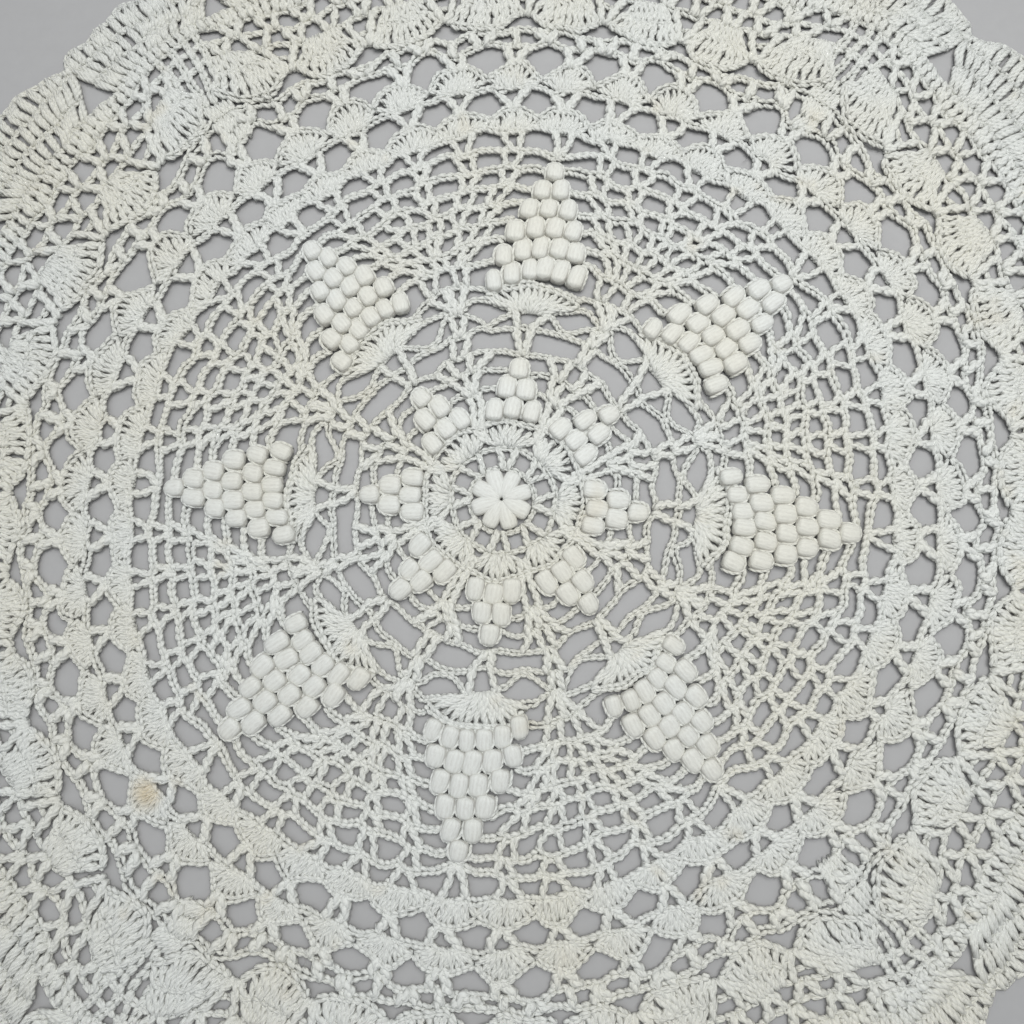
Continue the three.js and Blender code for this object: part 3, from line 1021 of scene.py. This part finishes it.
def cotton(name, plies, ply_long, twisted, fibre_scale, deep, shades, side):
    """Matt cotton yarn. plies is how many ridges its twist has round a strand, ply_long is how many
    mm each takes along it, and twisted is how strong they are beside the fibres. deep is the relief in
    mm. Painted shade greys the hollows of its twist: between its shades of height the yarn turns
    paler. Painted shade also greys it in the creases where it meets the next strand, from a share,
    side, of the way to its edge."""
    n = Nodes(name)
    place = n.add("TexCoord").outputs["Object"]
    patches = n.noise(place, *PATCH_NOISE)
    tints = n.noise(place, *TINT_NOISE)
    specks = n.noise(place, *SPECK_NOISE)
    white = n.mix(n.ramp(patches, *PATCH_FROM), COOL_WHITE, WARM_WHITE)
    white = n.mix(n.ramp(tints, *TINT_FROM), white, CREAM)
    apart = n.vector("DISTANCE", "Value", place, STAIN_PLACE)
    apart = n.math("ADD", apart, n.math("MULTIPLY", tints, STAIN_RAGGED))
    white = n.mix(n.ramp(apart, *STAIN_REACH, STAIN_STRONG, 0.0), white, STAIN)

    thread = n.add("UVMap", uv_map=THREAD_MAP).outputs["UV"]
    ridges = (2 * np.pi / ply_long, 2 * np.pi * plies, 0)
    twist = n.math("SINE", n.vector("DOT_PRODUCT", "Value", thread, ridges))
    twist = n.math("MULTIPLY", twist, twisted)
    fibres = n.noise(n.vector("MULTIPLY", "Vector", thread, fibre_scale), *FIBRE_NOISE)
    height = n.math("MULTIPLY_ADD", fibres, FIBRE_SHARE, twist)
    # Painted shade: the yarn is greyer in the hollows of its twist, where its height is low
    white = n.mix(n.ramp(height, *shades), n.mix(HOLLOW_SHADE, white, SHADE_GREY), white)
    # Painted shade: each strand is greyer towards its sides, in the creases where it meets the next
    # strand
    across = n.math("COSINE", n.vector("DOT_PRODUCT", "Value", thread, (0, 2 * np.pi, 0)))
    across = n.math("ABSOLUTE", across)
    white = n.mix(n.ramp(across, side, 1.0), white, n.mix(CREASE_SHADE, white, SHADE_GREY))
    n.link(white, "Base Color")
    bump = n.add("Bump", {"Height": height, "Strength": BUMP_STRENGTH, "Distance": deep * MM})
    n.link(bump.outputs["Normal"], "Normal")
    low, high = COTTON_ROUGH
    rough = n.add("MapRange", {"Value": specks, "To Min": low, "To Max": high})
    n.link(rough.outputs["Result"], "Roughness")
    n.shader.inputs["Specular IOR Level"].default_value = COTTON_SPECULAR
    n.shader.inputs["Sheen Weight"].default_value = COTTON_SHEEN[0]
    n.shader.inputs["Sheen Roughness"].default_value = COTTON_SHEEN[1]
    return n.material


FLOOR_TONES = ((0.40, 0.40, 0.405, 1), (0.44, 0.44, 0.445, 1))
FLOOR_NOISE = (220.0, 4.0, 0.6)
FLOOR_ROUGH = 0.85


def floor_material():
    n = Nodes("floor")
    place = n.add("TexCoord").outputs["Object"]
    n.link(n.mix(n.noise(place, *FLOOR_NOISE), *FLOOR_TONES), "Base Color")
    n.shader.inputs["Roughness"].default_value = FLOOR_ROUGH
    return n.material


# Pieces. The bake map is the cloth seen from above.
BAKE_MAP = "OFBake"


def piece(name, made, material):
    """One piece of the cloth from its mesh, in place of the plain solid."""
    mesh = bpy.data.meshes.new(name)
    corners = made["corners"] * MM
    mesh.from_pydata(corners.tolist(), [], made["threes"].tolist() + made["fours"].tolist())
    mesh.polygons.foreach_set("use_smooth", np.ones(len(mesh.polygons), bool))
    places = np.concatenate([made["three_places"], made["four_places"]])
    used = np.concatenate([made["threes"].ravel(), made["fours"].ravel()])
    low, high = corners[:, :2].min(0), corners[:, :2].max(0)
    seen = (corners[used, :2] - low) / (high - low)
    for layer, spots in ((THREAD_MAP, places), (BAKE_MAP, seen)):
        made_map = mesh.uv_layers.new(name=layer)
        made_map.uv.foreach_set("vector", spots.astype(np.float32).ravel())
    mesh.materials.append(material)
    made_piece = bpy.data.objects.new(name, mesh)
    bpy.context.scene.collection.objects.link(made_piece)
    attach(made_piece, "root")
    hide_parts("cloth")
    return made_piece


yarn = cotton(
    "cotton_yarn",
    plies=4,
    ply_long=1.9,
    twisted=0.6,
    fibre_scale=(1.9, 11.0, 1.0),
    deep=0.2,
    shades=(-0.8, 1.0),
    side=0.92,
)
puff_yarn = cotton(
    "cotton_puff",
    plies=18,
    ply_long=60.0,
    twisted=0.1,
    fibre_scale=(0.55, 34.0, 1.0),
    deep=0.18,
    shades=(0.3, 1.2),
    side=0.72,
)

border_fans = piece("border_fans", posts_mesh(border.posts, BROAD), yarn)
trimmings = [
    piece("posts", posts_mesh(medallion.posts, FINE), yarn),
    piece("fan_posts", posts_mesh(shells.posts, CLOSE), yarn),
    piece("chains", chains_mesh(medallion.chains, CHAIN), yarn),
    piece("shell_chains", chains_mesh(shells.chains, CHAIN), yarn),
    piece("popcorns", joined(popcorns), puff_yarn),
    piece("hoods", joined(hoods), yarn),
    piece("border_chains", chains_mesh(border.chains, PLAIN_CHAIN), yarn),
    piece(
        "edge",
        joined([posts_mesh(edge.posts, PLAIN), chains_mesh(edge.chains, PLAIN_CHAIN)]),
        yarn,
    ),
    piece("fibres", fibres_mesh(medallion.chains + shells.chains), yarn),
]

# Stage
FLOOR_HALF = 3.0
floor_mesh = bpy.data.meshes.new("floor")
floor_ways = ((-1, -1), (1, -1), (1, 1), (-1, 1))
floor_corners = [(x * FLOOR_HALF, y * FLOOR_HALF, 0.0) for x, y in floor_ways]
floor_mesh.from_pydata(floor_corners, [], [(0, 1, 2, 3)])
floor_mesh.materials.append(floor_material())
floor = bpy.data.objects.new("floor", floor_mesh)
bpy.context.scene.collection.objects.link(floor)

# Light: a soft panel close over the cloth, a broad one high up on the left and a pale surround
KEY = {"place": (0.08, 0.12, 0.5), "size": 0.36, "power": 1.9, "colour": (1.0, 0.995, 0.965)}
FILL = {"place": (-0.9, 0.7, 2.8), "size": 3.2, "power": 22.0, "colour": (0.98, 0.99, 1.0)}
SURROUND = (0.93, 0.96, 1.0, 1)
SURROUND_STRENGTH = 0.33


def panel(name, place, size, power, colour):
    """A soft light that faces the middle of the cloth."""
    light = bpy.data.lights.new(name, "AREA")
    light.energy = power
    light.size = size
    light.color = colour
    lamp = bpy.data.objects.new(name, light)
    lamp.location = place
    bpy.context.scene.collection.objects.link(lamp)
    aim = bpy.data.objects.new(name + "_aim", None)
    bpy.context.scene.collection.objects.link(aim)
    track = lamp.constraints.new("TRACK_TO")
    track.target = aim
    track.track_axis = "TRACK_NEGATIVE_Z"
    track.up_axis = "UP_Y"


panel("key", **KEY)
panel("fill", **FILL)
world = bpy.data.worlds.new("surround")
world.use_nodes = True
world.node_tree.nodes["Background"].inputs["Color"].default_value = SURROUND
world.node_tree.nodes["Background"].inputs["Strength"].default_value = SURROUND_STRENGTH
bpy.context.scene.world = world
bpy.context.scene.view_settings.view_transform = "Standard"

# Camera: nearly straight down, close over the middle of the cloth
CAMERA_TILT = 7.0
CAMERA_FAR = 0.2406
CAMERA_AIM = np.array([0.0022, -0.0047, 0.0])
CAMERA_LENS = 27.07
CAMERA_SENSOR = 36.0
CAMERA_NEAREST = 0.01
tilt = np.radians(CAMERA_TILT)
camera_data = bpy.data.cameras.new("camera")
camera_data.lens = CAMERA_LENS
camera_data.sensor_width = CAMERA_SENSOR
camera_data.clip_start = CAMERA_NEAREST
camera = bpy.data.objects.new("camera", camera_data)
camera.location = CAMERA_AIM + CAMERA_FAR * np.array([0.0, -np.sin(tilt), np.cos(tilt)])
camera.rotation_euler = (tilt, 0, 0)
bpy.context.scene.collection.objects.link(camera)
bpy.context.scene.camera = camera
